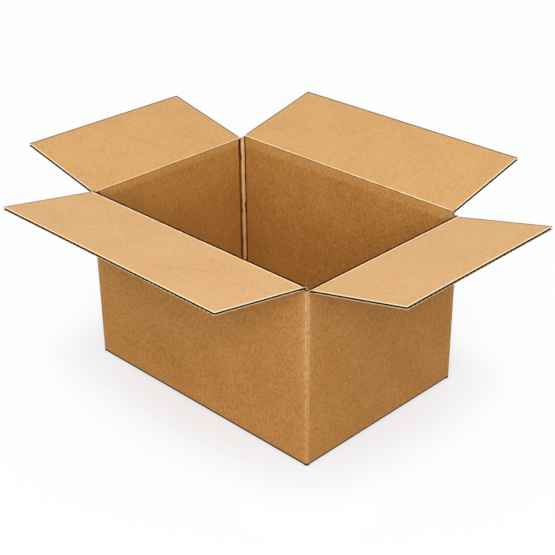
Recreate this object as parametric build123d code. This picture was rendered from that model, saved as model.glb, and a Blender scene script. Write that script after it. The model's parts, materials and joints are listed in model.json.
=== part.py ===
from build123d import *
import math
import os

# An open shipping box of corrugated cardboard, the common slotted kind.
# One sheet is creased and slotted, folded round four corners and glued down one of them.
# The bottom flaps are folded in and glued shut, and the four top flaps stand open.
# The origin is on the floor under the middle of the box, with +Z up and +X along the long walls.
# The front and back walls are the long ones, at -Y and +Y. The left and right walls are at -X and +X.

# The box, measured outside its walls and up to the creases of its long flaps
box_length = 450.0
box_width = 318.0
box_height = 277.0

# The board: two flat liners with a fluted medium between them
board = 4.0
liner = 0.45
medium = 0.40
flute_pitch = 7.9
flute_land = 1.45  # the flat of the medium that is glued to each liner
side_slot = 2.0  # the least open slot beside the last flute, where the knife cut along the flutes

# The slots that part the flaps, and the creases that they turn on
slot_width = 6.4
slot_drop = 1.0  # how far the end of a slot lies from the creases of the long flaps
crease_gap = 0.3  # between the two mitred halves of a crease when its flap is closed
crease_band = 8.0  # board crushed flat beside a crease, where no flute is open
crease_round = 1.5
stack_gap = 0.3  # between flaps that lie on each other
seam_gap = 0.5  # between the long flaps, where they meet over the middle of the box

# The upright folds: round outside, with a raised bead of liner between two grooves inside
fold_radius = 4.5
bead_radius = 3.4
groove_radius = 0.7

# The glued joint at the back right corner: a tab of the back wall lies inside the right wall
tab_width = 35.0
tab_slope = 15.0
tab_drop = 14.0
joint_gap = 0.5
glue = 0.3

# The folds round the bottom: the short flaps lie inside and ride up over the long ones
bottom_zone = 13.0
bottom_round = 3.0
nose_rise = 0.8
nose_round = 1.0

# The strips of glue that hold the bottom shut, and the film of glue under the tab
strip_width = 8.0
strip_length = 110.0
strip_inset = 30.0
strip_rows = (45.0, 110.0)
film_margin = 3.0

# How far each open top flap stands above level, in degrees
front_rise = 9.5
back_rise = 13.5
left_rise = 12.5
right_rise = 13.0

# One overrun serves every cut that passes through a face
overrun = 5.0

# Places that follow from the sizes above
half_length = box_length / 2
half_width = box_width / 2
half_board = board / 2
slot_inset = slot_width / 2 + half_board
setback = crease_gap / math.sqrt(2)
long_crease = box_height
short_crease = box_height - board - stack_gap
long_reach = half_width - seam_gap / 2
short_reach = long_reach + board + stack_gap
joint_face = half_length - board - glue
back_end = joint_face - slot_inset
right_line = half_length - half_board
tab_line = joint_face - half_board
post_top = box_height - slot_drop
core_low = liner
core_high = board - liner


def slab(x_from, x_to, y_from, y_to, z_from, z_to):
    """A block between two places along each axis."""
    size = (x_to - x_from, y_to - y_from, z_to - z_from)
    middle = ((x_from + x_to) / 2, (y_from + y_to) / 2, (z_from + z_to) / 2)
    return Pos(*middle) * Box(*size)


def bar(points, x_from, x_to, rounds=()):
    """A bar along X whose section in Y and Z has these points; rounds lists (point, radius)."""
    section = make_face(Polyline(*points, close=True))
    for place, radius in rounds:
        corner = section.vertices().sort_by_distance((*place, 0))[0]
        section = fillet(corner, radius)
    upright = Plane((x_from, 0, 0), x_dir=(0, 1, 0), z_dir=(1, 0, 0))
    return extrude(upright * section, amount=x_to - x_from)


# The flutes of one open flap
flank_run = flute_pitch / 2 - flute_land
flank_rise = core_high - core_low - medium
flank_angle = math.atan2(flank_rise, flank_run)
bend = medium * math.tan(flank_angle / 2)
channel_mouth = flute_pitch - flute_land - bend
channel_tip = flute_land - bend


def channel(centre, mouth_level, tip_level):
    """The section of one open flute, wide at the liner and narrow at the crest of the medium."""
    points = (
        (centre - channel_mouth / 2, mouth_level),
        (centre + channel_mouth / 2, mouth_level),
        (centre + channel_tip / 2, tip_level),
        (centre - channel_tip / 2, tip_level),
    )
    return make_face(Polyline(*points, close=True))


def side_channel(last, edge, side):
    """The section of the slot along a side edge, where the medium ends and the liners go on."""
    points = (
        (side * (last - channel_mouth / 2), core_low),
        (side * (last - channel_tip / 2), core_high - medium),
        (side * last, core_high - medium),
        (side * last, core_high),
        (side * (edge + overrun), core_high),
        (side * (edge + overrun), core_low),
    )
    return make_face(Polyline(*points, close=True))


def flute_section(width):
    """All the open flutes of a flap this wide, looking at its free edge."""
    count = int((width - 2 * side_slot) // flute_pitch)
    last = count * flute_pitch / 2
    section = side_channel(last, width / 2, 1) + side_channel(last, width / 2, -1)
    for number in range(count):
        centre = (number + 0.5) * flute_pitch - last
        section += channel(centre, core_high, core_low + medium)
    for number in range(1, count):
        centre = number * flute_pitch - last
        section += channel(centre, core_low, core_high - medium)
    return section


def top_flap(width, reach):
    """A flap lying level: its crease on the X axis, reaching along +Y, its inner liner on top."""
    profile = (
        (setback, 0),
        (reach, 0),
        (reach, board),
        (setback + board, board),
    )
    plate = bar(profile, -width / 2, width / 2, (((setback + board, board), crease_round),))
    free_edge = Plane((0, reach + overrun, 0), x_dir=(-1, 0, 0), z_dir=(0, 1, 0))
    flutes = extrude(free_edge * flute_section(width), amount=crease_band - reach - overrun)
    return plate - flutes


def stand_open(flap, rise, turn, crease_place):
    """Raise a level flap about its crease, turn it to its wall and set it on the wall's crease."""
    return Pos(*crease_place) * Rot(0, 0, turn) * Rot(rise, 0, 0) * flap


# The walls: the folded sheet seen from above, with its upright folds
def wall_section():
    """The folded sheet in plan, from the free edge of the right wall round to the glued tab."""
    centre_line = FilletPolyline(
        (right_line, half_width - joint_gap),
        (right_line, -half_width + half_board),
        (-right_line, -half_width + half_board),
        (-right_line, half_width - half_board),
        (tab_line, half_width - half_board),
        (tab_line, half_width - tab_width),
        radius=fold_radius - half_board,
    )
    section = trace(centre_line, line_width=board)
    folds = (
        (half_length, -half_width, -1, 1),
        (-half_length, -half_width, 1, 1),
        (-half_length, half_width, 1, -1),
        (joint_face, half_width, -1, -1),
    )
    groove_step = fold_radius + bead_radius + groove_radius
    for corner_x, corner_y, inward_x, inward_y in folds:
        bead_x = corner_x + inward_x * fold_radius
        bead_y = corner_y + inward_y * fold_radius
        section += Pos(bead_x, bead_y) * Circle(bead_radius)
        long_groove = Pos(corner_x + inward_x * groove_step, corner_y + inward_y * board)
        short_groove = Pos(corner_x + inward_x * board, corner_y + inward_y * groove_step)
        section -= long_groove * Circle(groove_radius)
        section -= short_groove * Circle(groove_radius)
    return section


def corner_posts(z_from, z_to):
    """Blocks round the four corners, as wide as the slots between the flaps leave them."""
    low_x = -half_length
    low_y = -half_width
    left_end = low_x + slot_inset
    right_end = half_length - slot_inset
    front_end = low_y + slot_inset
    rear_end = half_width - slot_inset
    blocks = slab(low_x, left_end, low_y, front_end, z_from, z_to)
    blocks += slab(right_end, half_length, low_y, front_end, z_from, z_to)
    blocks += slab(low_x, left_end, rear_end, half_width, z_from, z_to)
    blocks += slab(back_end, half_length, rear_end, half_width, z_from, z_to)
    return blocks


def mitre_cut(crease_height, span_from, span_to, turn, wall_distance):
    """The bevel down the inside of a wall's top edge, and all that is above it, for one flap."""
    wall_top = crease_height - setback
    profile = (
        (overrun, wall_top + overrun),
        (overrun, box_height + board + overrun),
        (-crease_band - overrun, box_height + board + overrun),
        (-crease_band - overrun, wall_top - crease_band - overrun),
    )
    cut = bar(profile, span_from - crease_gap, span_to + crease_gap)
    return Rot(0, 0, turn) * Pos(0, wall_distance, 0) * cut


def tab_ends():
    """What the sloping cuts take off the two ends of the glued tab."""
    slope = math.tan(math.radians(tab_slope))
    tab_end = half_width - tab_width - overrun
    fold_line = half_width - fold_radius
    drop = (fold_line - tab_end) * slope
    high = box_height - tab_drop
    low = bottom_zone + board
    x_from = joint_face - board - bead_radius
    x_to = joint_face + glue / 2
    upper = ((tab_end, high - drop), (fold_line, high), (fold_line, box_height), (tab_end, box_height))
    lower = ((tab_end, low + drop), (fold_line, low), (fold_line, 0), (tab_end, 0))
    return bar(upper, x_from, x_to) + bar(lower, x_from, x_to)


def long_bottom_flap():
    """The back wall's lowest strip and the long bottom flap that it turns into, in section."""
    profile = (
        (half_width, bottom_zone),
        (half_width, 0),
        (seam_gap / 2, 0),
        (seam_gap / 2, board),
        (half_width - board, board),
        (half_width - board, bottom_zone),
    )
    return profile, (((half_width, 0), bottom_round),)


def short_bottom_flap():
    """A short wall's lowest strip and the flap that rides up over the long ones, in section."""
    under = board + glue
    over = under + board
    ramp = math.atan2(under - nose_rise, slot_inset)
    inner_foot = nose_rise + board * math.cos(ramp) + (board - board * math.sin(ramp)) * math.tan(ramp)
    inner_bend = board * math.sin(ramp) + (over - nose_rise - board * math.cos(ramp)) / math.tan(ramp)
    profile = (
        (half_length, bottom_zone),
        (half_length, nose_rise),
        (half_length - slot_inset, under),
        (half_length - short_reach, under),
        (half_length - short_reach, over),
        (half_length - inner_bend, over),
        (half_length - board, inner_foot),
        (half_length - board, bottom_zone),
    )
    return profile, (((half_length, nose_rise), nose_round),)


def box_body():
    """The folded sheet as one piece: four walls, the glued tab and the four bottom flaps."""
    section = wall_section()
    front_span = (-half_length + slot_inset, half_length - slot_inset)
    back_span = (-half_length + slot_inset, back_end)
    side_span = (-half_width + slot_inset, half_width - slot_inset)
    body = Pos(0, 0, bottom_zone) * extrude(section, amount=box_height - bottom_zone)
    body -= corner_posts(post_top, box_height + overrun)
    body -= mitre_cut(long_crease, -front_span[1], -front_span[0], 180, half_width)
    body -= mitre_cut(long_crease, *back_span, 0, half_width)
    body -= mitre_cut(short_crease, *side_span, 90, half_length)
    body -= mitre_cut(short_crease, *side_span, -90, half_length)
    body -= tab_ends()
    lowest = Pos(0, 0, slot_drop) * extrude(section, amount=bottom_zone - slot_drop)
    body += lowest & corner_posts(0, bottom_zone)
    profile, rounds = long_bottom_flap()
    body += bar(profile, *back_span, rounds)
    body += Rot(0, 0, 180) * bar(profile, -front_span[1], -front_span[0], rounds)
    profile, rounds = short_bottom_flap()
    body += Rot(0, 0, 90) * bar(profile, *side_span, rounds)
    body += Rot(0, 0, -90) * bar(profile, *side_span, rounds)
    return body


def joint_glue():
    """The film of glue between the tab and the right wall."""
    slope = math.tan(math.radians(tab_slope))
    y_from = half_width - tab_width + film_margin
    y_to = half_width - fold_radius - film_margin
    drop = tab_width * slope + film_margin
    z_from = bottom_zone + board + drop
    z_to = box_height - tab_drop - drop
    return slab(joint_face, joint_face + glue, y_from, y_to, z_from, z_to)


def bottom_glue():
    """The glue strips between the short and the long bottom flaps."""
    strips = []
    for side in (-1, 1):
        for row in strip_rows:
            for end in (-1, 1):
                near = end * (half_length - strip_inset)
                far = end * (half_length - strip_inset - strip_length)
                y_from = side * row - strip_width / 2
                y_to = side * row + strip_width / 2
                strips.append(slab(min(near, far), max(near, far), y_from, y_to, board, board + glue))
    return Compound(children=strips)


# The four open flaps. The back one is shorter at its right end, where the joint takes room.
long_width = box_length - 2 * slot_inset
back_width = back_end + half_length - slot_inset
back_centre = (back_end - half_length + slot_inset) / 2
short_width = box_width - 2 * slot_inset

long_flap = top_flap(long_width, long_reach)
back_level_flap = top_flap(back_width, long_reach)
short_flap = top_flap(short_width, short_reach)

pieces = {
    "box_body": box_body(),
    "front_flap": stand_open(long_flap, front_rise, 180, (0, -half_width, long_crease)),
    "back_flap": stand_open(back_level_flap, back_rise, 0, (back_centre, half_width, long_crease)),
    "left_flap": stand_open(short_flap, left_rise, 90, (-half_length, 0, short_crease)),
    "right_flap": stand_open(short_flap, right_rise, -90, (half_length, 0, short_crease)),
    "joint_glue": joint_glue(),
    "bottom_glue": bottom_glue(),
}

os.makedirs("parts", exist_ok=True)
for node, shape in pieces.items():
    export_step(shape, f"parts/{node}.step")
    print(f"{node}: {len(shape.solids())} solids, {shape.volume:.0f} mm3")
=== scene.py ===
# %% [markdown]
# # An open cardboard box
# A shipping box is one sheet of corrugated board: two flat papers, the liners, with a wavy paper,
# the medium, glued between them. The sheet is creased and slotted, folded round four corners and
# glued down one of them. The box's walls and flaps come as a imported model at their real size, so
# this lesson never moves them. It gives them their paper, and adds what the folding did to it.

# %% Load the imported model
import json
import math

import bpy
from mathutils import Matrix, Vector


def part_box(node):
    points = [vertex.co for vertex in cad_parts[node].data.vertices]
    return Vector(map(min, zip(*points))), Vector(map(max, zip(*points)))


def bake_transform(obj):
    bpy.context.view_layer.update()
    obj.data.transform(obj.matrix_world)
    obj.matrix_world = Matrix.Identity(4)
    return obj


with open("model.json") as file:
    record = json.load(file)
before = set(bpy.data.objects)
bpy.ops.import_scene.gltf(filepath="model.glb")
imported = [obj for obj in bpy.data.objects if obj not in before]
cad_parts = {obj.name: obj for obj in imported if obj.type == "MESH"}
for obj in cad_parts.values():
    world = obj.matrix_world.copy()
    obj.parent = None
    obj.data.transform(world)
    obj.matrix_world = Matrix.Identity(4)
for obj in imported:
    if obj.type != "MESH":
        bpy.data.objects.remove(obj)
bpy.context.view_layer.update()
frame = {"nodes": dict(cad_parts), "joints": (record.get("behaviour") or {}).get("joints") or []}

print("nodes:", sorted(frame["nodes"]))

# %% [markdown]
# ## Measures
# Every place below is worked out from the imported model, so that the paper follows the box if its
# size changes. The hinges say where the creases lie and how far each flap stands above level: a
# flap closes level and upside down, so its rise is what its closing turn lacks of half a turn.

# %% Read the creases and the flaps
MM = 0.001
board = 4.0 * MM
liner = 0.45 * MM

walls_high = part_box("box_body")[1]
half_length = walls_high.x
half_width = walls_high.y

SIDES = ("front", "back", "left", "right")
NEAR_SIDES = ("front", "right")  # the two sides that the photograph is taken from
TURNS = {"front": 180.0, "back": 0.0, "left": 90.0, "right": -90.0}
creases = {}
for joint in frame["joints"]:
    side = joint["child"]
    rise = 180.0 - joint["range_deg"][1]
    place = Vector(joint["pos_m"])
    level = Matrix.Translation(place) @ Matrix.Rotation(math.radians(TURNS[side]), 4, "Z")
    to_flat = (level @ Matrix.Rotation(math.radians(rise), 4, "X")).inverted()
    flat = [to_flat @ v.co for v in frame["nodes"][side + "_flap"].data.vertices]
    low, high = min(v.x for v in flat), max(v.x for v in flat)
    reach = max(v.y for v in flat)
    creases[side] = {"place": place, "rise": rise, "level": level,
                     "low": low, "high": high, "reach": reach}
    print(side, "rise", round(rise, 1), "width", round(high - low, 4), "reach", round(reach, 4))
wall_top = creases["front"]["place"].z

# %% [markdown]
# ## The camera
# The photograph is taken from above one corner, with a lens of about 80 mm, so the sides run
# together only a little. The camera is set by the point that it looks at, its distance and two
# angles, because those are easier to think in than a place and a turn. Its sideways tilt is half
# a degree, as a hand-held picture has.

# %% Set the camera
aim_point = Vector((-0.0385, 0.0515, 0.1203))
camera_distance = 1.950
camera_azimuth = 44.90
camera_elevation = 27.88
camera_roll = -0.55
camera_lens = 80.07

turned = Matrix.Rotation(math.radians(camera_azimuth), 4, "Z")
tipped = turned @ Matrix.Rotation(math.radians(90 - camera_elevation), 4, "X")
rolled = tipped @ Matrix.Rotation(math.radians(camera_roll), 4, "Z")
away = rolled @ Vector((0, 0, 1)) - rolled @ Vector((0, 0, 0))
camera = bpy.data.objects.new("camera", bpy.data.cameras.new("camera"))
bpy.context.scene.collection.objects.link(camera)
camera.matrix_world = Matrix.Translation(aim_point + camera_distance * away) @ rolled
camera.data.lens = camera_lens
bpy.context.scene.camera = camera
print("camera at", [round(c, 3) for c in camera.matrix_world.translation])

# %% [markdown]
# ## Two small helpers
# Paper colours are easiest to read off a picture as sRGB hex values, and Blender's sockets take
# linear light, so one function turns the first into the second. The other adds a node, gives it
# its settings and feeds its sockets, so that each material below reads as a list of layers. A
# node's settings switch some of its sockets off, such as a colour Mix node's sockets for plain
# numbers. A list feeds the sockets that are left, in order, and a dictionary feeds them by name.

# %% Colour and node helpers
def linear(hex_colour):
    """An sRGB hex value as the linear colour with alpha that a socket takes."""
    channels = [int(hex_colour[place:place + 2], 16) / 255 for place in (0, 2, 4)]
    return (*[c / 12.92 if c <= 0.04045 else ((c + 0.055) / 1.055) ** 2.4 for c in channels], 1.0)


def add(tree, kind, feeds=(), **settings):
    """Add one node with its settings, feed it numbers or outputs, and give its first output."""
    node = tree.nodes.new(kind)
    for name, value in settings.items():
        setattr(node, name, value)
    left_on = [socket for socket in node.inputs if socket.enabled]
    by_name = isinstance(feeds, dict)
    for key, value in feeds.items() if by_name else zip(left_on, feeds):
        socket = node.inputs[key] if by_name else key
        if isinstance(value, bpy.types.NodeSocket):
            tree.links.new(value, socket)
        else:
            socket.default_value = value
    return next((output for output in node.outputs if output.enabled), None)


# %% [markdown]
# ## The floor and the light
# The box stands on a table in a white studio. A very wide light overhead makes the tops brighter
# than the walls, and another one low down beside the camera lights the two near walls, with the
# open flaps' soft shadow along their tops. The table itself is a middle grey, so that it throws
# little light up under the flaps. To the camera it is mostly its own light, which keeps it white,
# and least so beside the box, so that a pale shadow shows there and fades within the length of a
# hand, as a picture for a shop is finished.

# %% The floor's paper
white = linear("ffffff")
shadow_from, shadow_to = 0.02, 0.17  # how far from the box its shadow starts to fade, and ends
glow_share_near, glow_share_far = 0.48, 0.90
glow_near, glow_far = 1.20, 1.01
# The floor that the camera sees is a little blue, painted to cancel the warm light that the box
# throws on it.
floor_seen = "e6ecf4"
floor_thrown = "686868"


def new_material(name):
    """An empty node material and its tree."""
    material = bpy.data.materials.new(name)
    material.use_nodes = True
    material.node_tree.nodes.clear()
    return material, material.node_tree


def seen_directly(tree, share):
    """This share to the camera, in a mirror and through glass, and 0 for all other light."""
    path = add(tree, "ShaderNodeLightPath").node.outputs
    seen = add(tree, "ShaderNodeMath", (path["Is Camera Ray"], path["Is Glossy Ray"]),
               operation="ADD")
    seen = add(tree, "ShaderNodeMath", (seen, path["Is Transmission Ray"]),
               operation="ADD", use_clamp=True)
    return add(tree, "ShaderNodeMath", (seen, share), operation="MULTIPLY")


def white_floor():
    """Studio paper that is white with a pale shadow to the camera, and throws back less light."""
    floor_paper, tree = new_material("white_studio_paper")
    place = add(tree, "ShaderNodeTexCoord").node.outputs["Object"]
    place = add(tree, "ShaderNodeVectorMath", (place,), operation="ABSOLUTE")
    past = add(tree, "ShaderNodeVectorMath", (place, (half_length, half_width, 0.0)),
               operation="SUBTRACT")
    past = add(tree, "ShaderNodeVectorMath", (past, (0.0, 0.0, 0.0)), operation="MAXIMUM")
    distance = add(tree, "ShaderNodeVectorMath", (past,), operation="LENGTH")
    fade = {"Value": distance, "From Min": shadow_from, "From Max": shadow_to}
    glow_share = add(tree, "ShaderNodeMapRange",
                     {**fade, "To Min": glow_share_near, "To Max": glow_share_far},
                     interpolation_type="SMOOTHSTEP")
    strength = add(tree, "ShaderNodeMapRange", {**fade, "To Min": glow_near, "To Max": glow_far},
                   interpolation_type="SMOOTHSTEP")
    colour = add(tree, "ShaderNodeMix",
                 (seen_directly(tree, 1.0), linear(floor_thrown), linear(floor_seen)),
                 data_type="RGBA")
    paper = add(tree, "ShaderNodeBsdfDiffuse", {"Color": colour})
    glow = add(tree, "ShaderNodeEmission", {"Color": white, "Strength": strength})
    surface = add(tree, "ShaderNodeMixShader", (seen_directly(tree, glow_share), paper, glow))
    add(tree, "ShaderNodeOutputMaterial", {"Surface": surface})
    return floor_paper


# %% Build the studio
floor_size = 12.0
sky_strength, backdrop_strength = 0.50, 1.0
overhead_strength, overhead_spread = 1.10, 80.0  # the spread in degrees, as the box sees it
front_power, front_width, front_distance = 36.0, 2.0, 2.3
overhead_from = Vector((-0.1, 0.1, 1.5))
front_from = Vector((0.62, -0.78, 0.52)).normalized()

bpy.ops.object.select_all(action="DESELECT")
bpy.ops.mesh.primitive_plane_add(size=floor_size, location=(0, 0, 0))
floor = bpy.context.object
floor.name = "studio_floor"
floor.data.materials.append(white_floor())

world = bpy.data.worlds.new("studio_world")
bpy.context.scene.world = world
world.use_nodes = True
world_tree = world.node_tree
world_tree.nodes.clear()
sky = add(world_tree, "ShaderNodeBackground", {"Color": white, "Strength": sky_strength})
backdrop = add(world_tree, "ShaderNodeBackground",
               {"Color": white, "Strength": backdrop_strength})
shown = add(world_tree, "ShaderNodeMixShader", (seen_directly(world_tree, 1.0), sky, backdrop))
add(world_tree, "ShaderNodeOutputWorld", {"Surface": shown})

overhead = bpy.data.lights.new("wide_overhead_light", "SUN")
overhead.energy = overhead_strength
overhead.angle = math.radians(overhead_spread)
overhead_place = overhead_from.to_track_quat("Z", "Y").to_matrix().to_4x4()

front = bpy.data.lights.new("wide_front_light", "AREA")
front.energy = front_power
front.shape = "DISK"
front.size = front_width
near_corner = Vector((half_length, -half_width, walls_high.z / 2))
front_turn = front_from.to_track_quat("Z", "Y").to_matrix().to_4x4()
front_place = Matrix.Translation(near_corner + front_distance * front_from) @ front_turn

for light, place in ((overhead, overhead_place), (front, front_place)):
    lamp = bpy.data.objects.new(light.name, light)
    bpy.context.scene.collection.objects.link(lamp)
    lamp.matrix_world = place
    lamp.visible_camera = False
    print(lamp.name, "energy", light.energy)
bpy.context.scene.view_settings.view_transform = "Standard"

# %% [markdown]
# ## Kraft paper
# Both liners are kraft paper: long brown wood fibres, unbleached and pressed. Close up it is not
# one colour. It has slow cloudy patches, a fine grain, streaks along the flutes where the paper
# dips between them, and a few pale fibres and dark specks of bark. Each layer is a texture whose
# scale comes from a real size, and they add up to one number, the tone, that a colour ramp turns
# into paper. Real fibres are a tenth of a millimetre wide, too fine to show, so the grain is drawn
# as coarse as clumps of them. Much of the wear lies in a band along an edge, so a band is a helper
# too. Each is named beside its use, as where it starts, where it ends and how wide its soft
# shoulders are.

# %% Bands and sizes
UNDER_ALL, OVER_ALL = -1.0, 10.0  # the open end of a band, which no value here comes near
HALF_TONE = 0.5  # plain paper, and also what a noise is on average


def per_metre(size_mm):
    """The noise scale, on coordinates in metres, whose features are about this size."""
    return 1.0 / (size_mm * MM)


def band(tree, value, low, high, soft):
    """1 from low to high, with shoulders of the soft width, and 0 elsewhere."""
    rising = add(tree, "ShaderNodeMapRange",
                 {"Value": value, "From Min": low - soft, "From Max": low},
                 interpolation_type="SMOOTHSTEP")
    falling = add(tree, "ShaderNodeMapRange",
                  {"Value": value, "From Min": high, "From Max": high + soft,
                   "To Min": 1.0, "To Max": 0.0}, interpolation_type="SMOOTHSTEP")
    return add(tree, "ShaderNodeMath", (rising, falling), operation="MULTIPLY")


# %% The layers of kraft paper
flute_pitch = 7.9 * MM
cloud_mm, grain_mm, streak_mm, speck_mm = 70, 2.6, 3.0, 6.0
SPECK_DOT = (UNDER_ALL, 0.06, 0.16)  # how far a speck reaches from the middle of its cell
SPECK_CHANCE = (0.72, OVER_ALL, 0.02)  # which cells have one, by a chance from 0 to 1
SEED_SHIFT = (1.0, 0.7, 0.3)  # moves the pattern, so that two papers don't look alike


def paper_tone(tree, place, seed, streaks, shares):
    """The layers of the paper added up round one half, where one half is the plain paper."""
    shift = [seed * part for part in SEED_SHIFT]
    moved = add(tree, "ShaderNodeMapping", {"Vector": place, "Location": shift})
    along = add(tree, "ShaderNodeMapping", {"Vector": moved, "Scale": streaks})
    clouds = add(tree, "ShaderNodeTexNoise",
                 {"Vector": moved, "Scale": per_metre(cloud_mm), "Detail": 2.0})
    grain = add(tree, "ShaderNodeTexNoise",
                {"Vector": moved, "Scale": per_metre(grain_mm), "Detail": 2.0, "Roughness": 0.6})
    streak = add(tree, "ShaderNodeTexNoise",
                 {"Vector": along, "Scale": per_metre(streak_mm), "Detail": 1.0})
    cells = add(tree, "ShaderNodeTexVoronoi", {"Vector": along, "Scale": per_metre(speck_mm)})
    dots = band(tree, cells, *SPECK_DOT)
    chance = add(tree, "ShaderNodeSeparateColor", (cells.node.outputs["Color"],)).node.outputs
    pale, dark = band(tree, chance[0], *SPECK_CHANCE), band(tree, chance[1], *SPECK_CHANCE)
    speck = add(tree, "ShaderNodeMath", (pale, dark), operation="SUBTRACT")
    speck = add(tree, "ShaderNodeMath", (speck, dots), operation="MULTIPLY")
    tone = HALF_TONE - HALF_TONE * sum(shares[:3])
    for layer, share in zip((clouds, grain, streak, speck), shares):
        tone = add(tree, "ShaderNodeMath", (layer, share, tone), operation="MULTIPLY_ADD")
    return tone


def paper_colour(tree, tone, dark, paper, pale):
    """A ramp from the paper's shaded pits through the plain paper to its pale fibres."""
    colour = add(tree, "ShaderNodeValToRGB", (tone,))
    stops = colour.node.color_ramp.elements
    stops[0].color = linear(dark)
    stops[1].color = linear(pale)
    stops.new(HALF_TONE).color = linear(paper)
    return colour


def ribs(tree, across):
    """The faint ribs of the flutes under the liner, as a wave from -1 to 1."""
    angle = add(tree, "ShaderNodeMath", (across, 2 * math.pi / flute_pitch), operation="MULTIPLY")
    return add(tree, "ShaderNodeMath", (angle,), operation="SINE")


# %% [markdown]
# ## The paper's surface
# Unglazed kraft is nearly matt: rough, not metal, with the plain IOR of paper and a faint sheen
# that only shows at a low angle. Dirt, cracks and the places painted dark as shade, such as the
# hollow flutes, get no sheen, so they stay dark. The tone also drives a shallow bump, so light
# rakes over the grain, and the ribs of the flutes lift it a few hundredths of a millimetre, which
# is all that a good board shows.

# %% Finish a paper
paper_roughness, paper_ior, paper_sheen = 0.82, 1.45, 0.1
grain_height, rib_height = 0.15 * MM, 0.03 * MM
grain_strength, rib_strength = 0.4, 1.0


def finish_paper(tree, colour, tone, rib, dull_places=()):
    """The paper's shader, with its grain and ribs as bump, and no sheen on its dull places."""
    sheen = paper_sheen
    if dull_places:
        dull = add(tree, "ShaderNodeMath", dull_places, operation="MAXIMUM")
        sheen = add(tree, "ShaderNodeMath", (dull, -paper_sheen, paper_sheen),
                    operation="MULTIPLY_ADD")
    bump = add(tree, "ShaderNodeBump",
               {"Height": tone, "Strength": grain_strength, "Distance": grain_height})
    bump = add(tree, "ShaderNodeBump", {"Height": rib, "Strength": rib_strength,
                                        "Distance": rib_height, "Normal": bump})
    paper = add(tree, "ShaderNodeBsdfPrincipled",
                {"Base Color": colour, "Roughness": paper_roughness, "IOR": paper_ior,
                 "Specular IOR Level": sheen, "Normal": bump})
    add(tree, "ShaderNodeOutputMaterial", {"Surface": paper})


# %% [markdown]
# ## The flaps
# A flap shows its inner liner on top, its outer liner below and the fluted medium at its cut
# edges. One material does all three, by where a point lies in the board. A Mapping node turns the
# flap's coordinates back to a level flap: X along the crease, Y out from it and Z up through the
# board. The edges towards the front and the right are pale for a millimetre or two: the cut
# liner's torn fibres, with a painted highlight on them. The other edges are brown, painted shade.
# The near flaps show a thin pale lip below the flutes too, a painted highlight, and the far ones a
# dark lip there, painted shade. The hollow flutes between the liners are painted dark as shade,
# and only the medium's own cut at the free edge is brown.

# %% The flaps' papers and their places
# The front and right flaps get a lighter copy of the inner liner than the back and left ones:
# painted light on the near flaps, painted shade on the far ones.
INNER_LINER = {"front": ("ab7943", "e0b17c", "f1cfa1"), "back": ("a06e3a", "d6a66d", "e9c593")}
INNER_LINER["right"] = INNER_LINER["front"]
INNER_LINER["left"] = INNER_LINER["back"]
OUTER_LINER = ("a0672c", "d79752", "edb877")
FLAP_SHARES = (0.18, 0.49, 0.20, 0.18)  # how much clouds, grain, streaks and specks add
FLAP_STREAKS = (1.0, 0.3, 1.0)


def nearest_edge(tree, distances):
    """The least of some distances."""
    nearest = distances[0]
    for distance in distances[1:]:
        nearest = add(tree, "ShaderNodeMath", (distance, nearest), operation="MINIMUM")
    return nearest


def flap_place(tree, rest_place, side, rise):
    """The place in a flap's own frame, level or raised, of a place in the box's frame."""
    turn = (math.radians(rise), 0.0, math.radians(TURNS[side]))
    return add(tree, "ShaderNodeMapping",
               {"Vector": rest_place, "Location": creases[side]["place"], "Rotation": turn},
               vector_type="TEXTURE")


def flap_tone(tree, raised_place, side):
    """The tone of a flap's paper, which its crease has too, so that the pattern runs on."""
    return paper_tone(tree, raised_place, TURNS[side] / 100, FLAP_STREAKS, FLAP_SHARES)


# %% The pale edges, torn fibres with a painted highlight
# Pale edges: the cut liner's torn fibres with a painted highlight. The other edges get painted
# shade.
TORN_AND_LIT_EDGES = {"front": ("low", "free"), "right": ("high", "free"),
              "back": ("high",), "left": ("low",)}
torn_width, near_torn_width, torn_soft = 1.3 * MM, 1.9 * MM, 0.5 * MM
fray = 1.2 * MM
# The near flaps' lip is painted pale as a highlight, the far flaps' lip dark as painted shade.
NEAR_LIP = (UNDER_ALL, 1.5 * MM, 0.3 * MM)
FAR_LIP = (UNDER_ALL, torn_width, 0.1 * MM)
LIP_SKIN = (0.9 * liner, 1.1 * liner, 0.01 * MM)
pale_lip, dark_lip = -0.05 * MM, 0.60 * MM  # how far the core is moved off the near lip, left pale as a painted highlight, or onto the far lip as painted shade


def torn_and_lit_edge(tree, side, tone, torn, z, upper, lower):
    """Where the torn fibres with their painted highlight lie, and the height that places the dark
    core.
    """
    ragged = add(tree, "ShaderNodeMath", (tone, -fray, torn), operation="MULTIPLY_ADD")
    width = near_torn_width if side in NEAR_SIDES else torn_width
    fibres = band(tree, ragged, UNDER_ALL, width - fray / 2, torn_soft)
    if side in NEAR_SIDES:
        lip = add(tree, "ShaderNodeMath",
                  (band(tree, torn, *NEAR_LIP), band(tree, z, *LIP_SKIN)), operation="MULTIPLY")
        fibres = add(tree, "ShaderNodeMath", (fibres, lip), operation="MAXIMUM")
        return fibres, add(tree, "ShaderNodeMath", (lip, pale_lip, z), operation="MULTIPLY_ADD")
    fibres = add(tree, "ShaderNodeMath", (fibres, upper), operation="MULTIPLY")
    lip = add(tree, "ShaderNodeMath", (band(tree, torn, *FAR_LIP), lower), operation="MULTIPLY")
    return fibres, add(tree, "ShaderNodeMath", (lip, dark_lip, z), operation="MULTIPLY_ADD")


# %% The flaps' board
cream, lip_cream = "ffeec6", "ffdfae"
# Painted shade on the edges that are not pale.
edge_shade_brown = "7c5630"
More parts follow.
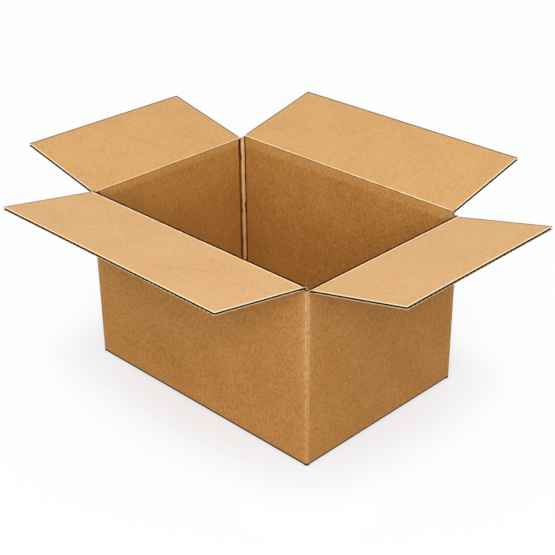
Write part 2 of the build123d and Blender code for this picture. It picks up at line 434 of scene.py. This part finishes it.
# Painted shade: the near-black of the hollow flutes between the liners.
flute_shade_brown = "22130a"
medium_brown = "73532f"
core_skin = 0.98 * liner  # a hair less than the liner, so that no brown line runs beside the core
IN_CORE = (core_skin, board - core_skin, 0.005 * MM)
UPPER_HALF = (board / 2, OVER_ALL, 0.1 * MM)
# The band of painted shade along the edges that are not pale.
SHADED_EDGE = (UNDER_ALL, 2.0 * MM, 0.4 * MM)
AT_FREE_CUT = (UNDER_ALL, 0.05 * MM, 0.02 * MM)


def flap_board(side):
    """Corrugated board for one flap, read in the flap's own level coordinates."""
    crease = creases[side]
    material, tree = new_material("kraft_flap_board_" + side)
    coordinates = add(tree, "ShaderNodeTexCoord").node.outputs["Object"]
    local = flap_place(tree, coordinates, side, crease["rise"])
    x, y, z = add(tree, "ShaderNodeSeparateXYZ", (local,)).node.outputs
    tone = flap_tone(tree, local, side)
    upper = band(tree, z, *UPPER_HALF)
    lower = add(tree, "ShaderNodeMath", (1.0, upper), operation="SUBTRACT")
    top = paper_colour(tree, tone, *INNER_LINER[side])
    under = paper_colour(tree, tone, *OUTER_LINER)
    colour = add(tree, "ShaderNodeMix", (upper, under, top), data_type="RGBA")

    edges = {"low": add(tree, "ShaderNodeMath", (x, crease["low"]), operation="SUBTRACT"),
             "high": add(tree, "ShaderNodeMath", (crease["high"], x), operation="SUBTRACT"),
             "free": add(tree, "ShaderNodeMath", (crease["reach"], y), operation="SUBTRACT")}
    torn = nearest_edge(tree, [edges[edge] for edge in edges if edge in TORN_AND_LIT_EDGES[side]])
    shaded_edges = nearest_edge(tree, [edges[edge] for edge in edges if edge not in TORN_AND_LIT_EDGES[side]])
    shaded_edges = band(tree, shaded_edges, *SHADED_EDGE)
    frayed, core_z = torn_and_lit_edge(tree, side, tone, torn, z, upper, lower)
    in_core = band(tree, core_z, *IN_CORE)
    medium_cut = add(tree, "ShaderNodeMath", (band(tree, edges["free"], *AT_FREE_CUT), in_core),
                     operation="MULTIPLY")

    fibres = add(tree, "ShaderNodeMix", (lower, linear(cream), linear(lip_cream)),
                 data_type="RGBA")
    for share, over in ((frayed, fibres), (shaded_edges, linear(edge_shade_brown)),
                        (in_core, linear(flute_shade_brown)), (medium_cut, linear(medium_brown))):
        colour = add(tree, "ShaderNodeMix", (share, colour, over), data_type="RGBA")
    finish_paper(tree, colour, tone, ribs(tree, x), (in_core, shaded_edges))
    return material


for side in SIDES:
    node = frame["nodes"][side + "_flap"]
    node.data.materials.clear()
    node.data.materials.append(flap_board(side))
    print(node.name, "is", node.data.materials[0].name)

# %% [markdown]
# ## The walls and the bottom
# The folded sheet is one piece with both liners on it, so its material asks how deep a point lies
# in the board, measured inwards from the outside of the round-cornered box. Nothing deep is the
# outer liner, a whole board deep is the inner one, and what lies between is a cut edge.

# %% How deep a point lies in the sheet
fold_radius = 4.5 * MM


def wall_depths(tree, coordinates):
    """How deep a point lies in the board, and how far it is in from the two nearest walls."""
    absolute = add(tree, "ShaderNodeVectorMath", (coordinates,), operation="ABSOLUTE")
    across = add(tree, "ShaderNodeSeparateXYZ", (absolute,)).node.outputs
    from_short = add(tree, "ShaderNodeMath", (half_length, across[0]), operation="SUBTRACT")
    from_long = add(tree, "ShaderNodeMath", (half_width, across[1]), operation="SUBTRACT")
    short_past = add(tree, "ShaderNodeMath", (fold_radius, from_short), operation="SUBTRACT")
    long_past = add(tree, "ShaderNodeMath", (fold_radius, from_long), operation="SUBTRACT")
    corner = add(tree, "ShaderNodeCombineXYZ", (short_past, long_past))
    corner = add(tree, "ShaderNodeVectorMath", (corner, (0.0, 0.0, 0.0)), operation="MAXIMUM")
    round_out = add(tree, "ShaderNodeVectorMath", (corner,), operation="LENGTH")
    inside = add(tree, "ShaderNodeMath", (short_past, long_past), operation="MAXIMUM")
    inside = add(tree, "ShaderNodeMath", (inside, 0.0), operation="MINIMUM")
    outward = add(tree, "ShaderNodeMath", (round_out, inside), operation="ADD")
    depth = add(tree, "ShaderNodeMath", (fold_radius, outward), operation="SUBTRACT")
    return depth, from_short, from_long


# %% [markdown]
# ## The wear and the painted light at the upright folds
# The creasing wheel and the folding leave two broken pale lines along each upright fold outside,
# and a pale bloom beside them, which is painted light, as falls in between two open flaps. The
# lines are a noise cut off at a band's edges. The bloom is wider on the long wall, and fades
# towards the floor, right under the flaps as painted shade, and between the two lines.

# %% Wear the outer liner and paint light and shade on it
FOLD_LINE = (2.1 * MM, 2.8 * MM, 0.5 * MM)  # out from the fold's middle, on either side
BETWEEN_LINES = (UNDER_ALL, 1.2 * MM, 0.5 * MM)
LONG_BLOOM = (-1.0 * MM, 3.0 * MM, 16.0 * MM)
SHORT_BLOOM = (-4.0 * MM, 1.0 * MM, 10.0 * MM)
# Painted shade: the bloom is dimmed right under the flaps.
UNSHADED = (UNDER_ALL, wall_top - 27.0 * MM, 20.0 * MM)
line_share, bloom_share, beads_share = 0.75, 0.12, 0.27
between_loss, shaded_share, low_share = 0.8, 0.4, 0.4
low_to, high_from = 50.0 * MM, wall_top - 7.0 * MM
beads_mm, beads_stretch = 3.4, (1.0, 1.0, 0.55)
BEADS_CUT = {"From Min": 0.40, "From Max": 0.60}


def fold_wear_and_light(tree, coordinates, from_short, from_long):
    """Paleness near an upright fold: two broken lines of wear and a bloom of painted light."""
    height = add(tree, "ShaderNodeSeparateXYZ", (coordinates,)).node.outputs[2]
    across = add(tree, "ShaderNodeMath", (from_short, from_long), operation="SUBTRACT")
    distance = add(tree, "ShaderNodeMath", (across,), operation="ABSOLUTE")
    beads = add(tree, "ShaderNodeMapping", {"Vector": coordinates, "Scale": beads_stretch})
    beads = add(tree, "ShaderNodeTexNoise",
                {"Vector": beads, "Scale": per_metre(beads_mm), "Detail": 2.0})
    broken = add(tree, "ShaderNodeMapRange", {"Value": beads, **BEADS_CUT})
    line = add(tree, "ShaderNodeMath", (band(tree, distance, *FOLD_LINE), broken),
               operation="MULTIPLY")

    bloom = add(tree, "ShaderNodeMath",
                (band(tree, across, *LONG_BLOOM), band(tree, across, *SHORT_BLOOM)),
                operation="MAXIMUM")
    beaded = add(tree, "ShaderNodeMath", (broken, beads_share, bloom_share),
                 operation="MULTIPLY_ADD")
    lit = add(tree, "ShaderNodeMath",
              (band(tree, height, *UNSHADED), 1.0 - shaded_share, shaded_share),
              operation="MULTIPLY_ADD")
    beside = add(tree, "ShaderNodeMath",
                 (band(tree, distance, *BETWEEN_LINES), -between_loss, 1.0),
                 operation="MULTIPLY_ADD")
    higher = add(tree, "ShaderNodeMapRange", {"Value": height, "From Min": low_to,
                                              "From Max": high_from, "To Min": low_share})
    for share in (beaded, lit, beside, higher):
        bloom = add(tree, "ShaderNodeMath", (bloom, share), operation="MULTIPLY")
    worn_and_lit = add(tree, "ShaderNodeMath", (line, line_share, bloom), operation="MULTIPLY_ADD")
    return add(tree, "ShaderNodeMath", (worn_and_lit, higher), operation="MULTIPLY")


# %% [markdown]
# ## Inside the corners
# The inner liner has nowhere to go in a fold, so it gathers in a pale bead between two grooves, a
# broad one on the short wall and a narrow one on the long wall, both painted dark as painted shade,
# darker near the top. The corner with the glued tab has none, because the tab lies flat on the wall
# there. The walls' inner paper is a deeper brown than on the flaps, which is painted shade, a
# little paler along the top, and paler again low down, which is painted light.

# %% The bead in a corner
bead_reach = 8.1 * MM  # how far the bead of liner reaches in from the outside of the two walls
bead_waviness, waviness_mm = 1.2 * MM, 14
short_groove, long_groove = 5.2 * MM, 2.9 * MM  # how wide, on the short and on the long walls
bead_pale = "ffd29c"
# Painted shade in the grooves beside the bead, darkest near the top.
short_groove_shade, long_groove_shade, groove_top_shade = "8a4d10", "4f1e02", "2c1402"
bead_share, top_shade_share = 0.9, 0.8
AT_JOINT = (0.0, OVER_ALL, 0.01 * MM)
ON_BEAD = (UNDER_ALL, -0.2 * MM, 0.2 * MM)
ON_SHORT = (0.0, OVER_ALL, 0.2 * MM)
IN_GROOVE = (0.0, 1.0, 0.12)  # in widths of the groove
NEAR_TOP = (wall_top - 15.0 * MM, OVER_ALL, 30.0 * MM)


def corner_bead(tree, axes, rest_place, from_short, from_long, inner):
    """The bead of gathered liner in a folded corner, between two grooves of painted shade."""
    x, y, z = axes
    at_joint = add(tree, "ShaderNodeMath", (band(tree, x, *AT_JOINT), band(tree, y, *AT_JOINT)),
                   operation="MULTIPLY")
    folded = add(tree, "ShaderNodeMath", (1.0, at_joint), operation="SUBTRACT")
    reach = add(tree, "ShaderNodeMath", (from_short, from_long), operation="MAXIMUM")
    wavy = add(tree, "ShaderNodeTexNoise",
               {"Vector": rest_place, "Scale": per_metre(waviness_mm), "Detail": 1.0})
    past = add(tree, "ShaderNodeMath", (wavy, bead_waviness, reach), operation="MULTIPLY_ADD")
    past = add(tree, "ShaderNodeMath", (past, bead_reach + bead_waviness / 2),
               operation="SUBTRACT")
    on_short = add(tree, "ShaderNodeMath", (from_long, from_short), operation="SUBTRACT")
    on_short = band(tree, on_short, *ON_SHORT)
    width = add(tree, "ShaderNodeMath", (on_short, short_groove - long_groove, long_groove),
                operation="MULTIPLY_ADD")
    groove = add(tree, "ShaderNodeMath", (past, width), operation="DIVIDE")
    groove = add(tree, "ShaderNodeMath", (band(tree, groove, *IN_GROOVE), folded),
                 operation="MULTIPLY")
    near_top = add(tree, "ShaderNodeMath", (band(tree, z, *NEAR_TOP), top_shade_share),
                   operation="MULTIPLY")
    bead = add(tree, "ShaderNodeMath", (band(tree, past, *ON_BEAD), bead_share),
               operation="MULTIPLY")
    bead = add(tree, "ShaderNodeMath", (bead, folded), operation="MULTIPLY")

    brown = add(tree, "ShaderNodeMix",
                (on_short, linear(long_groove_shade), linear(short_groove_shade)),
                data_type="RGBA")
    brown = add(tree, "ShaderNodeMix", (near_top, brown, linear(groove_top_shade)), data_type="RGBA")
    inner = add(tree, "ShaderNodeMix", (groove, inner, brown), data_type="RGBA")
    return add(tree, "ShaderNodeMix", (bead, inner, linear(bead_pale)), data_type="RGBA")


# %% The inner liner
# Painted shade: the walls' inner liner is a darker copy of the flaps' paper.
PAINTED_SHADE_LINER = ("85561f", "c79048", "e2b375")
# Painted light: a paler copy of the walls' liner low down inside, which offsets the deep shade
# there.
PAINTED_LIGHT_LOW_LINER = ("9a6a2e", "d8a85a", "ebc488")
WALL_SEED = 3.0
WALL_SHARES = (0.3, 1.0, 0.35, 0.34)
WALL_STREAKS = (1.0, 1.0, 0.4)
# A paler band along the top of the walls inside.
PALER_BAND = (wall_top - 9.0 * MM, OVER_ALL, 7.0 * MM)
PAINTED_LIGHT_LOW = (UNDER_ALL, 50.0 * MM, 120.0 * MM)
paler_band_share, painted_light_share = 0.16, 0.48


def inner_paper(tree, rest_place, from_short, from_long):
    """The inner liner on the walls, with its corners' beads, and its tone."""
    axes = add(tree, "ShaderNodeSeparateXYZ", (rest_place,)).node.outputs
    tone = paper_tone(tree, rest_place, WALL_SEED, WALL_STREAKS, WALL_SHARES)
    paler_band = add(tree, "ShaderNodeMath", (band(tree, axes[2], *PALER_BAND), paler_band_share, tone),
                 operation="MULTIPLY_ADD")
    deep = add(tree, "ShaderNodeMath", (band(tree, axes[2], *PAINTED_LIGHT_LOW), painted_light_share),
               operation="MULTIPLY")
    shaded = paper_colour(tree, paler_band, *PAINTED_SHADE_LINER)
    inner = add(tree, "ShaderNodeMix", (deep, shaded, paper_colour(tree, paler_band, *PAINTED_LIGHT_LOW_LINER)),
                data_type="RGBA")
    return corner_bead(tree, axes, rest_place, from_short, from_long, inner), tone


# %% [markdown]
# ## The sheet's board
# The two liners and the cut edges come together in one material. Along the foot of its walls the
# box has a dark line, partly scuffing and partly painted shadow where the bottom fold meets the
# floor, and a cut edge shows the hollow flutes between its two liners, painted dark as shade.

# %% The folded sheet's board
fold_pale = "fbdcab"
# A dark line at the foot of the walls: scuffing, and painted shadow where the box meets the floor.
scuff_and_shadow_dark = "33261c"
scuff_and_shadow_share = 0.92
SCUFFED_AND_SHADED = (UNDER_ALL, 4.2 * MM, 0.5 * MM)
AT_WALLS = (UNDER_ALL, 3.0 * MM, 2.0 * MM)
OUTSIDE = (UNDER_ALL, 0.4 * MM, 0.2 * MM)
INNER_HALF = (board / 2, OVER_ALL, 0.2 * MM)
IN_CUT = (liner, board - liner, 0.05 * MM)


def sheet_board():
    """Corrugated board for the walls, the tab and the bottom flaps."""
    material, tree = new_material("kraft_sheet_board")
    coordinates = add(tree, "ShaderNodeTexCoord").node.outputs["Object"]
    x, y, z = add(tree, "ShaderNodeSeparateXYZ", (coordinates,)).node.outputs
    depth, from_short, from_long = wall_depths(tree, coordinates)
    inner, tone = inner_paper(tree, coordinates, from_short, from_long)
    outer = paper_colour(tree, tone, *OUTER_LINER)

    worn_and_lit = add(tree, "ShaderNodeMath", (fold_wear_and_light(tree, coordinates, from_short, from_long),
                                        band(tree, depth, *OUTSIDE)), operation="MULTIPLY")
    at_walls = band(tree, nearest_edge(tree, [from_short, from_long]), *AT_WALLS)
    scuffed_and_shaded = add(tree, "ShaderNodeMath", (band(tree, z, *SCUFFED_AND_SHADED), scuff_and_shadow_share),
                  operation="MULTIPLY")
    scuffed_and_shaded = add(tree, "ShaderNodeMath", (scuffed_and_shaded, at_walls), operation="MULTIPLY")
    inside, cut = band(tree, depth, *INNER_HALF), band(tree, depth, *IN_CUT)
    colour = outer
    for share, over in ((worn_and_lit, linear(fold_pale)), (scuffed_and_shaded, linear(scuff_and_shadow_dark)),
                        (inside, inner), (cut, linear(flute_shade_brown))):
        colour = add(tree, "ShaderNodeMix", (share, colour, over), data_type="RGBA")
    along = add(tree, "ShaderNodeMath", (x, y), operation="ADD")
    finish_paper(tree, colour, tone, ribs(tree, along), (cut, scuffed_and_shaded))
    return material


body = frame["nodes"]["box_body"]
body.data.materials.clear()
body.data.materials.append(sheet_board())
print(body.name, "is", body.data.materials[0].name)

# %% [markdown]
# ## Dried glue
# Box makers glue with starch paste or a white glue, which dries to a pale, slightly glossy film.
# Almost none of it shows: a line beside the tab, and the strips under the bottom flaps.

# %% The glue
GLUE_COLOURS = ("b9a888", "d3c6a8", "e8dfc8")
glue_streak_mm, glue_roughness, glue_ior = 4, 0.35, 1.47


def dried_glue():
    """Dried white glue: pale, faintly milky and a little shiny."""
    material, tree = new_material("dried_white_glue")
    coordinates = add(tree, "ShaderNodeTexCoord").node.outputs["Object"]
    streaks = add(tree, "ShaderNodeTexNoise",
                  {"Vector": coordinates, "Scale": per_metre(glue_streak_mm), "Detail": 2.0})
    colour = paper_colour(tree, streaks, *GLUE_COLOURS)
    glue = add(tree, "ShaderNodeBsdfPrincipled",
               {"Base Color": colour, "Roughness": glue_roughness, "IOR": glue_ior})
    add(tree, "ShaderNodeOutputMaterial", {"Surface": glue})
    return material


glue = dried_glue()
for name in ("joint_glue", "bottom_glue"):
    frame["nodes"][name].data.materials.clear()
    frame["nodes"][name].data.materials.append(glue)
    print(name, "is", glue.name)

# %% [markdown]
# ## The creases
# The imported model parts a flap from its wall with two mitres, so that the hinge can turn. On the
# real box the board goes on over the crease: the inner liner comes up the wall, is broken along the
# line where the wheel crushed it, and rises into a ridge before it lies flat on the flap. Each
# crease is one bar of board that fills the space between the mitres. Its section is drawn by
# extruding a point from corner to corner, the outline is filled, and the face is pulled out along
# the crease. A Displace modifier then makes the ridge uneven, as torn paper is.

# %% Draw a bar by its outline
def draw_bar(name, outline, low, high):
    """A bar along X whose section in Y and Z has these corners."""
    bpy.ops.object.select_all(action="DESELECT")
    bpy.ops.mesh.primitive_plane_add(size=MM, location=(low, *outline[0]))
    bar = bpy.context.object
    bar.name = name
    bpy.ops.object.mode_set(mode="EDIT")
    bpy.ops.mesh.select_mode(type="VERT")
    bpy.ops.mesh.select_all(action="SELECT")
    bpy.ops.mesh.merge(type="CENTER")
    for here, there in zip(outline, outline[1:]):
        step = (0, there[0] - here[0], there[1] - here[1])
        bpy.ops.mesh.extrude_region_move(TRANSFORM_OT_translate={"value": step})
    bpy.ops.mesh.select_all(action="SELECT")
    bpy.ops.mesh.edge_face_add()
    bpy.ops.mesh.extrude_region_move(TRANSFORM_OT_translate={"value": (high - low, 0, 0)})
    bpy.ops.mesh.select_all(action="SELECT")
    bpy.ops.mesh.normals_make_consistent(inside=False)
    bpy.ops.object.mode_set(mode="OBJECT")
    bpy.ops.object.transform_apply(location=True, rotation=True, scale=True)
    return bar


# %% Slice a bar
def divide_along(bar, length, cuts):
    """Cut a bar into even slices, by subdividing the edges that run its whole length."""
    mesh = bar.data
    bpy.ops.object.mode_set(mode="EDIT")
    bpy.ops.mesh.select_mode(type="EDGE")
    bpy.ops.mesh.select_all(action="DESELECT")
    bpy.ops.object.mode_set(mode="OBJECT")
    for edge in mesh.edges:
        ends = [mesh.vertices[number].co for number in edge.vertices]
        edge.select = abs(ends[0].x - ends[1].x) > length / 2
    bpy.ops.object.mode_set(mode="EDIT")
    bpy.ops.mesh.subdivide(number_cuts=cuts)
    bpy.ops.object.mode_set(mode="OBJECT")


# %% [markdown]
# ## The sections
# The corners of a section are given as distances out from the wall's outer face and up from the
# crease, in millimetres. Those on the flap's side follow its top, which stands at the flap's rise.
# The ridge lies further out on the two near flaps than on the far ones, as in the photograph.

# %% The inner and the outer section
def raised(rise, y, z):
    """A corner given in the flap's own frame, in the frame of the level crease, in millimetres."""
    angle = math.radians(rise)
    return (y * math.cos(angle) - z * math.sin(angle), y * math.sin(angle) + z * math.cos(angle))


def in_metres(corner):
    """A corner in millimetres as metres."""
    return tuple(value * MM for value in corner)


def inner_section(rise, ridge_shift):
    """The inner liner from the wall over the lip and the ridge to the flap, and back underneath."""
    def on_top(out, above):
        angle = math.radians(rise)
        return (out, out * math.tan(angle) + board / MM / math.cos(angle) + above)

    wall = [(-4.02, -6.5), (-4.12, -5.6), (-4.12, -2.5), (-4.12, 0.5), (-4.06, 2.0)]
    lip = [on_top(-3.95, -0.30), on_top(-3.6, -0.02), on_top(-3.0, -0.05), on_top(-2.3, -0.05)]
    bumps = [(-1.9, 0.05), (-1.5, 0.20), (-0.8, 0.24), (-0.1, 0.18), (0.5, 0.07)]
    ridge = [on_top(out + ridge_shift, above) for out, above in bumps]
    flap = [on_top(3.4, 0.05), raised(rise, 4.9, 4.05), raised(rise, 6.8, 4.02)]
    under = [raised(rise, 6.7, 3.9), raised(rise, 4.6, 3.7), raised(rise, 0.5, 0.2)]
    back = [(-0.15, -0.2), (-3.85, -4.2), (-3.95, -6.4)]
    return [in_metres(corner) for corner in wall + lip + ridge + flap + under + back]


def outer_section(rise):
    """The outer liner in the hollow under the open flap, as a thin fillet from wall to flap."""
    wall = [(0.03, -2.0), (0.1, -0.7), (0.3, -0.28)]
    flap = [(0.75, -0.02 + 0.75 * math.tan(math.radians(rise))), raised(rise, 2.0, -0.03)]
    back = [raised(rise, 1.9, 0.1), raised(rise, 0.3, 0.1), (-0.1, -0.3), (-0.1, -1.9)]
    return [in_metres(corner) for corner in wall + flap + back]


RIDGE_SHIFTS = {side: 2.6 if side in NEAR_SIDES else 0.0 for side in SIDES}
for side in SIDES:
    corners = inner_section(creases[side]["rise"], RIDGE_SHIFTS[side])
    print(side, "inner section", len(corners), "corners")

# %% [markdown]
# ## The creases' paper
# A crease bends when its flap turns, so its material can't read Object coordinates, which would
# let the pattern slide. Each bar keeps the place that its points had at rest in an attribute, and
# the paper reads that. The wall's paper and the flap's paper are the very same layers as on their
# own pieces, so the pattern runs on over the joint. Between them lies the pale ridge, worn liner
# with a painted highlight, and beside it the dark crack, partly a crack in the liner and partly
# painted shade, darkest on the near flaps. Its edges are frayed, because torn liner doesn't part
# along a straight line.

# %% The creases' colours and marks
# The ridge is worn liner, pale, with a painted highlight on it.
ridge_pale_and_highlight = "ffe9c0"
# The crack is partly a crack in the liner and partly painted shade, darkest on the near flaps.
crack_and_shade_brown, near_crack_and_shade_brown = "5e3a16", "3a1802"
REST_PLACE = "rest_place"
# from and to, as distances out from the wall's outer face
NEAR_CRACK, NEAR_RIDGE = (-4.3 * MM, 1.2 * MM), (1.5 * MM, 3.6 * MM)
FAR_CRACK, FAR_RIDGE = (-3.6 * MM, -2.3 * MM), (-2.0 * MM, 0.2 * MM)
RIDGE_SHARES = {"front": 0.95, "right": 0.95, "back": 0.7, "left": 0.45}
ridge_sway, ridge_soft = 1.6 * MM, 0.4 * MM
crack_sway, crack_soft = 1.0 * MM, 0.3 * MM
crack_most, crack_loss = 1.2, 0.4
FLAP_PAPER = (-2.6 * MM, OVER_ALL, 0.2 * MM)
CRACK_TOP = (2.2 * MM, OVER_ALL, 0.3 * MM)
uneven_mm, patch_mm = 5, 22
PATCHES_KEPT = {"From Min": 0.38, "From Max": 0.52, "To Min": 0.55}


def broken_marks(tree, side, rest_place, out, up):
    """Where the crack with its painted shade and the ridge with its painted highlight lie, both
    uneven.
    """
    crack_from, crack_to = NEAR_CRACK if side in NEAR_SIDES else FAR_CRACK
    ridge_from, ridge_to = NEAR_RIDGE if side in NEAR_SIDES else FAR_RIDGE
    uneven = add(tree, "ShaderNodeTexNoise",
                 {"Vector": rest_place, "Scale": per_metre(uneven_mm), "Detail": 2.0})
    swayed = add(tree, "ShaderNodeMath", (uneven, ridge_sway, out), operation="MULTIPLY_ADD")
    ridge = band(tree, swayed, ridge_from + ridge_sway / 2, ridge_to + ridge_sway / 2, ridge_soft)
    patches = add(tree, "ShaderNodeTexNoise",
                  {"Vector": rest_place, "Scale": per_metre(patch_mm), "Detail": 2.0})
    kept = add(tree, "ShaderNodeMapRange", {"Value": patches, **PATCHES_KEPT})
    for share in (RIDGE_SHARES[side], kept):
        ridge = add(tree, "ShaderNodeMath", (ridge, share), operation="MULTIPLY")

    swayed = add(tree, "ShaderNodeMath", (uneven, crack_sway, out), operation="MULTIPLY_ADD")
    crack = band(tree, swayed, crack_from + crack_sway / 2, crack_to + crack_sway / 2, crack_soft)
    depth = add(tree, "ShaderNodeMath", (uneven, -crack_loss, crack_most),
                operation="MULTIPLY_ADD")
    for share in (band(tree, up, *CRACK_TOP), depth):
        crack = add(tree, "ShaderNodeMath", (crack, share), operation="MULTIPLY")
    return crack, ridge


# %% The creases' cut ends
AT_END = (UNDER_ALL, 0.08 * MM, 0.02 * MM)
END_CORE = (2 * liner, OVER_ALL, 0.1 * MM)


def cut_end(tree, crease, along, out, raised_place):
    """Where a crease's end is cut, and where its hollow core shows there."""
    from_low = add(tree, "ShaderNodeMath", (along, crease["low"]), operation="SUBTRACT")
    from_high = add(tree, "ShaderNodeMath", (crease["high"], along), operation="SUBTRACT")
    at_end = band(tree, nearest_edge(tree, [from_low, from_high]), *AT_END)
    above = add(tree, "ShaderNodeSeparateXYZ", (raised_place,)).node.outputs[2]
    below_top = add(tree, "ShaderNodeMath", (board, above), operation="SUBTRACT")
    behind_wall = add(tree, "ShaderNodeMath", (out, board), operation="ADD")
    core = band(tree, nearest_edge(tree, [below_top, behind_wall]), *END_CORE)
    return at_end, add(tree, "ShaderNodeMath", (at_end, core), operation="MULTIPLY")


# %% The creases' board
def crease_board(side):
    """Creased board: wall paper, a crack with painted shade, a ridge with painted highlight, flap
    paper.
    """
    material, tree = new_material("creased_kraft_board_" + side)
    attribute = add(tree, "ShaderNodeAttribute", attribute_name=REST_PLACE)
    rest_place = attribute.node.outputs["Vector"]
    raised_place = flap_place(tree, rest_place, side, creases[side]["rise"])
    level = flap_place(tree, rest_place, side, 0.0)
    along, out, up = add(tree, "ShaderNodeSeparateXYZ", (level,)).node.outputs
    _, from_short, from_long = wall_depths(tree, rest_place)
    wall, _ = inner_paper(tree, rest_place, from_short, from_long)
    tone = flap_tone(tree, raised_place, side)
    crack, ridge = broken_marks(tree, side, rest_place, out, up)
    at_end, end_core = cut_end(tree, creases[side], along, out, raised_place)
    crack_colour = near_crack_and_shade_brown if side in NEAR_SIDES else crack_and_shade_brown
    colour = wall
    for share, over in ((band(tree, out, *FLAP_PAPER),
                         paper_colour(tree, tone, *INNER_LINER[side])),
                        (ridge, linear(ridge_pale_and_highlight)), (crack, linear(crack_colour)),
                        (at_end, linear(cream)), (end_core, linear(flute_shade_brown))):
        colour = add(tree, "ShaderNodeMix", (share, colour, over), data_type="RGBA")
    finish_paper(tree, colour, tone, ribs(tree, along), (crack, end_core))
    return material


def outer_crease_board(side):
    """The outer liner, bent round the outside of a crease."""
    material, tree = new_material("creased_outer_liner_" + side)
    attribute = add(tree, "ShaderNodeAttribute", attribute_name=REST_PLACE)
    rest_place = attribute.node.outputs["Vector"]
    tone = paper_tone(tree, rest_place, WALL_SEED, WALL_STREAKS, WALL_SHARES)
    along = add(tree, "ShaderNodeSeparateXYZ", (flap_place(tree, rest_place, side, 0.0),))
    finish_paper(tree, paper_colour(tree, tone, *OUTER_LINER), tone, ribs(tree, along))
    return material


# %% [markdown]
# ## Model the creases
# Each bar is modelled level at the origin, cut into slices of three or four millimetres so that
# the clouds of the Displace modifier have something to move, and then set on its crease with its
# place applied.

# %% Tear the ridge
torn_depth = 0.35 * MM
ridge_span = (-2.0 * MM, 1.5 * MM)
ridge_floor = 2.2 * MM
torn_clouds = bpy.data.textures.new("torn_fibres", "CLOUDS")
torn_clouds.noise_scale = 4.0 * MM


def make_ragged(bar, ridge_shift):
    """Push the points of a bar's ridge up and down unevenly."""
    low, high = (end + ridge_shift for end in ridge_span)
    ridge = [vertex.index for vertex in bar.data.vertices
             if low < vertex.co.y < high and vertex.co.z > ridge_floor]
    group = bar.vertex_groups.new(name="torn")
    group.add(ridge, 1.0, "REPLACE")
    ragged = bar.modifiers.new("torn", "DISPLACE")
    ragged.texture = torn_clouds
    ragged.texture_coords = "LOCAL"
    ragged.vertex_group = group.name
    ragged.direction = "Z"
    ragged.strength = torn_depth
    bpy.ops.object.modifier_apply(modifier=ragged.name)
    bar.vertex_groups.clear()


# %% Set a bar on its crease
smooth_up_to = 35.0  # degrees between two faces


def set_on_crease(bar, side, material):
    """Place a bar on its crease, keep its places at rest, and give it its material."""
    level = creases[side]["level"]
    bpy.ops.object.shade_smooth_by_angle(angle=math.radians(smooth_up_to))
    bar.matrix_world = level
    bpy.context.view_layer.update()
    bpy.ops.object.transform_apply(location=True, rotation=True, scale=True)
    kept = bar.data.attributes.new(REST_PLACE, "FLOAT_VECTOR", "POINT")
    kept.data.foreach_set("vector", [c for vertex in bar.data.vertices for c in vertex.co])
    bar.data.materials.append(material)
    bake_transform(bar)
    print(bar.name, len(bar.data.polygons), "faces")


# %% Model the creases
crease_cuts = 100
end_gap = 0.05 * MM  # a bar ends this far inside its flap's cut edges

for side in SIDES:
    crease = creases[side]
    rise = crease["rise"]
    low, high = crease["low"] + end_gap, crease["high"] - end_gap
    inner = draw_bar(side + "_crease_inner", inner_section(rise, RIDGE_SHIFTS[side]), low, high)
    divide_along(inner, high - low, crease_cuts)
    make_ragged(inner, RIDGE_SHIFTS[side] * MM)
    set_on_crease(inner, side,
                  crease_board(side))
    outer = draw_bar(side + "_crease_outer", outer_section(rise), low, high)
    set_on_crease(outer, side,
                  outer_crease_board(side))
